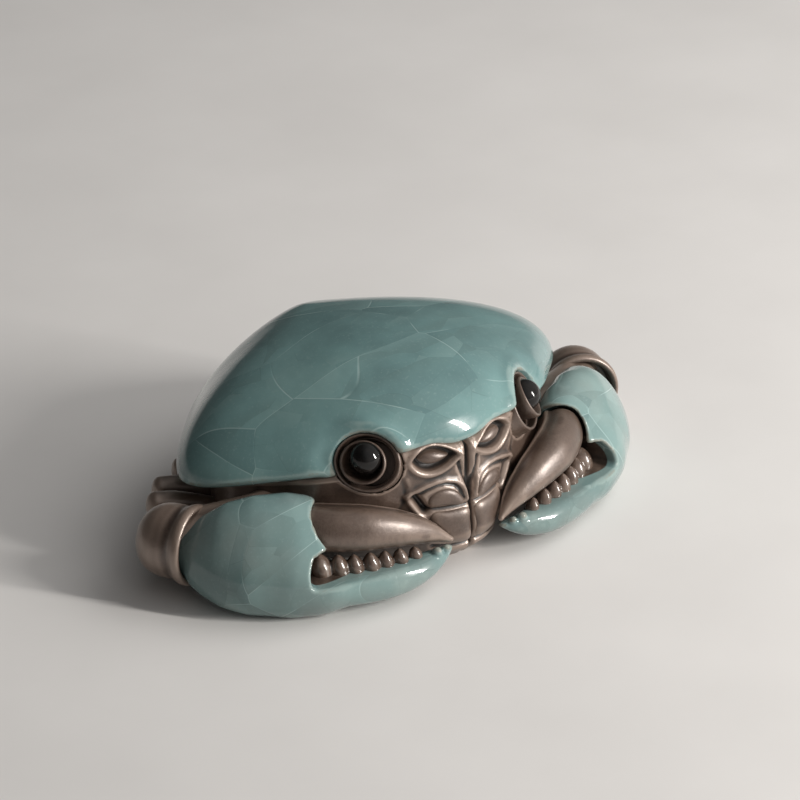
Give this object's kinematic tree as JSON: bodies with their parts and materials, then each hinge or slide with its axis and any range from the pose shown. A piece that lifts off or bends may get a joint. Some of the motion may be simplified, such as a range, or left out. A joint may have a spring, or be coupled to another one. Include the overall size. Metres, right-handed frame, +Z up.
{
  "type": "crab figurine",
  "caption": "Stoneware crab ornament for a tea table: crackled celadon carapace and claws, bare brown clay face and legs, black bead eyes, flat foot to stand on.",
  "frame": {"origin": "on the flat foot under the body, on the midline, 26 mm behind the brow", "axes": "+Z up; the crab faces -Y; +X is the crab's own left"},
  "size_m": [0.0984, 0.0594, 0.0327],
  "materials": {
    "celadon_glaze": "glossy crackled celadon glaze over stoneware",
    "bare_stoneware": "satin, unglazed dark brown clay",
    "black_glaze": "glossy black glaze"
  },
  "bodies": {
    "root": {"carapace": "celadon_glaze", "left_antennule": "bare_stoneware", "left_arm": "bare_stoneware", "left_claw_teeth": "bare_stoneware", "left_eye": "black_glaze", "left_eye_socket": "bare_stoneware", "left_eye_stalk": "bare_stoneware", "left_leg_1": "bare_stoneware", "left_leg_2": "bare_stoneware", "left_leg_3": "bare_stoneware", "left_leg_4": "bare_stoneware", "left_mouth_pad": "bare_stoneware", "left_mouth_plate": "bare_stoneware", "left_moving_finger": "bare_stoneware", "left_palm": "celadon_glaze", "left_wrist": "bare_stoneware", "lower_body": "bare_stoneware", "right_antennule": "bare_stoneware", "right_arm": "bare_stoneware", "right_claw_teeth": "bare_stoneware", "right_eye": "black_glaze", "right_eye_socket": "bare_stoneware", "right_eye_stalk": "bare_stoneware", "right_leg_1": "bare_stoneware", "right_leg_2": "bare_stoneware", "right_leg_3": "bare_stoneware", "right_leg_4": "bare_stoneware", "right_mouth_pad": "bare_stoneware", "right_mouth_plate": "bare_stoneware", "right_moving_finger": "bare_stoneware", "right_palm": "celadon_glaze", "right_wrist": "bare_stoneware"}
  },
  "joints": []
}
